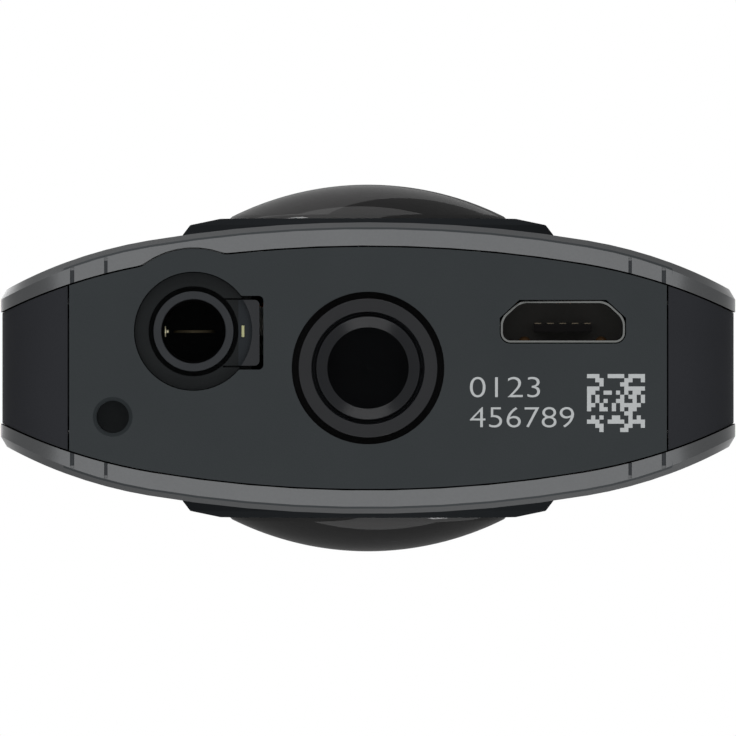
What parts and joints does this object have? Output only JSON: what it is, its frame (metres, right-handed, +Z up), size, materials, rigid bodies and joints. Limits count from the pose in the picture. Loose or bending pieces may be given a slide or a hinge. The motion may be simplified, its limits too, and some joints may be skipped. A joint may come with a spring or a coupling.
{
  "type": "360 degree camera",
  "caption": "Slim upright two-lens camera with a fisheye dome on each face, a shutter button, side keys, a tripod socket, a microphone jack and a small USB receptacle in its base.",
  "frame": {"origin": "centre of the tripod socket's mouth, on the base plane", "axes": "+Z up along the body, -Y out of the front cover with the shutter button, +X out of the side with the three keys"},
  "size_m": [0.0452, 0.0238, 0.1306],
  "materials": {
    "cover_paint": "fine satin paint on a light metal cover",
    "frame_plastic": "fine matt moulding",
    "base_plastic": "fine matt moulding",
    "bush_metal": "blackened turned metal",
    "black_plastic": "smooth black moulding",
    "gold_contact": "gold plated",
    "plated_steel": "nickel plated sheet",
    "collar_black": "satin black",
    "lens_glass": "coated optical glass",
    "barrel_black": "black anodised, fine turned rings",
    "key_plastic": "satin moulding",
    "ring_metal": "satin anodised",
    "clear_plastic": "translucent moulding",
    "chassis_metal": "die cast",
    "board_green": "solder resist",
    "can_metal": "tin plated sheet",
    "chip_black": "moulded package",
    "spreader_copper": "bare copper sheet",
    "cell_foil": "laminated foil",
    "black_rubber": "soft moulding",
    "screw_steel": "plated"
  },
  "bodies": {
    "camera": {"antenna": "board_green", "base_plate": "base_plastic", "battery": "cell_foil", "board_chips": "chip_black", "board_plugs": "black_plastic", "board_screws": "screw_steel", "chassis": "chassis_metal", "connector_board": "board_green", "cover_screws": "screw_steel", "frame_screws": "screw_steel", "front_image_sensor": "chip_black", "front_inner_lenses": "lens_glass", "front_lens_barrel": "barrel_black", "front_lens_bezel": "collar_black", "front_lens_dome": "lens_glass", "front_prism": "lens_glass", "front_relay_lenses": "lens_glass", "front_sensor_board": "board_green", "front_shell": "cover_paint", "heat_spreader": "spreader_copper", "jack_contacts": "gold_contact", "key_switches": "black_plastic", "lamp_guides": "clear_plastic", "lamps": "clear_plastic", "main_board": "board_green", "mic_boots": "black_rubber", "mic_jack_housing": "black_plastic", "mic_jack_sleeve": "black_plastic", "microphones": "can_metal", "optical_block": "barrel_black", "optical_screws": "screw_steel", "power_lamp_guide": "clear_plastic", "rear_image_sensor": "chip_black", "rear_inner_lenses": "lens_glass", "rear_lens_barrel": "barrel_black", "rear_lens_bezel": "collar_black", "rear_lens_dome": "lens_glass", "rear_prism": "lens_glass", "rear_relay_lenses": "lens_glass", "rear_sensor_board": "board_green", "rear_shell": "cover_paint", "shield_cans": "can_metal", "shutter_ring": "ring_metal", "shutter_switch": "black_plastic", "side_frame": "frame_plastic", "side_key_board": "board_green", "speaker": "black_plastic", "tripod_bush": "bush_metal", "usb_contacts": "gold_contact", "usb_receptacle": "plated_steel", "usb_tongue": "black_plastic"},
    "shutter": {"shutter_button": "key_plastic", "shutter_plunger": "black_plastic"},
    "power_key": {"power_button": "key_plastic", "power_plunger": "black_plastic"},
    "wireless_key": {"wireless_button": "key_plastic", "wireless_plunger": "black_plastic"},
    "mode_key": {"mode_button": "key_plastic", "mode_plunger": "black_plastic"}
  },
  "joints": [
    {"name": "shutter_press", "type": "slide", "parent": "camera", "child": "shutter", "axis": [0, 1, 0], "range_m": [0, 0.00035], "stiffness_N_per_m": 5000},
    {"name": "power_press", "type": "slide", "parent": "camera", "child": "power_key", "axis": [-1, 0, 0], "range_m": [0, 0.00025], "stiffness_N_per_m": 5000},
    {"name": "wireless_press", "type": "slide", "parent": "camera", "child": "wireless_key", "axis": [-1, 0, 0], "range_m": [0, 0.00025], "stiffness_N_per_m": 5000},
    {"name": "mode_press", "type": "slide", "parent": "camera", "child": "mode_key", "axis": [-1, 0, 0], "range_m": [0, 0.00025], "stiffness_N_per_m": 5000}
  ]
}
